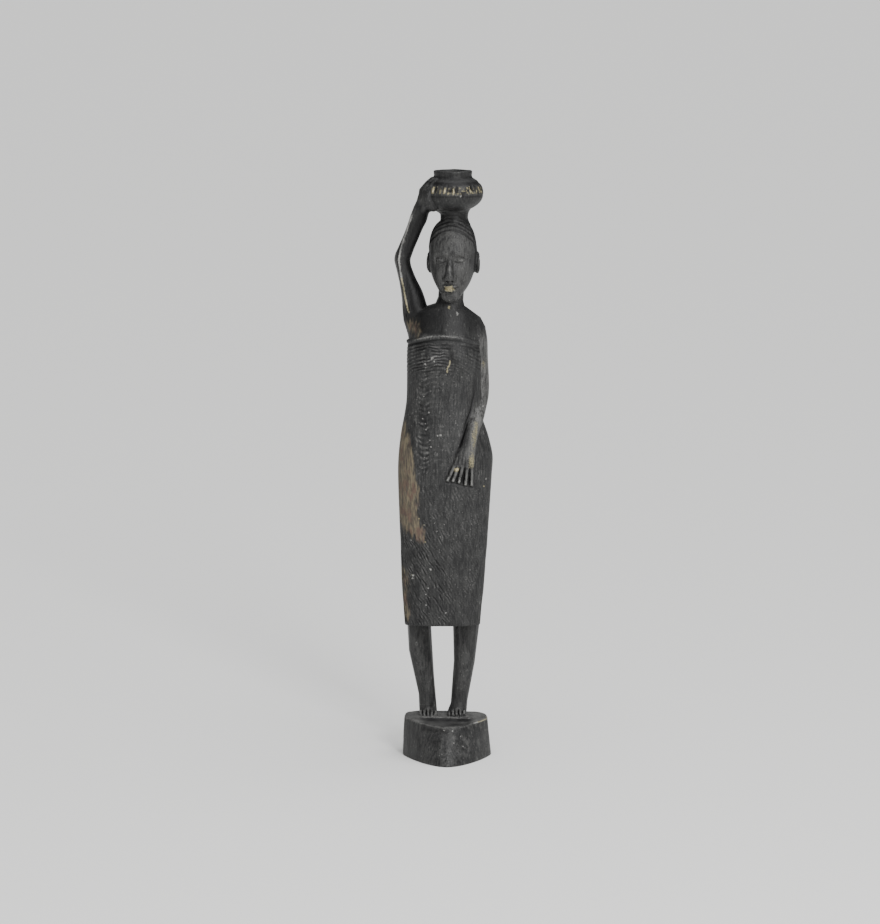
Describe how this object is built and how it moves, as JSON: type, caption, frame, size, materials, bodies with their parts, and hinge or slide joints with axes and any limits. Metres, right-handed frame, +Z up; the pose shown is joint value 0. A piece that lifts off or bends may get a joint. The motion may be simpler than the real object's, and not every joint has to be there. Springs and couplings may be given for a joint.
{
  "type": "female figure sculpture",
  "caption": "Carved wooden standing woman in a long wrapped dress, on a block, one hand steadying the pot on her head.",
  "frame": {"origin": "middle of the block's flat underside, on the surface that the sculpture stands on", "axes": "+Z up along the figure, she faces -Y, her left side is at +X"},
  "size_m": [0.0666, 0.0652, 0.4],
  "materials": {
    "dark_wood": "near-black hardwood, satin, worn to brown on one flank and to pale wood on a few high points"
  },
  "bodies": {
    "root": {"figure": "dark_wood"}
  },
  "joints": []
}
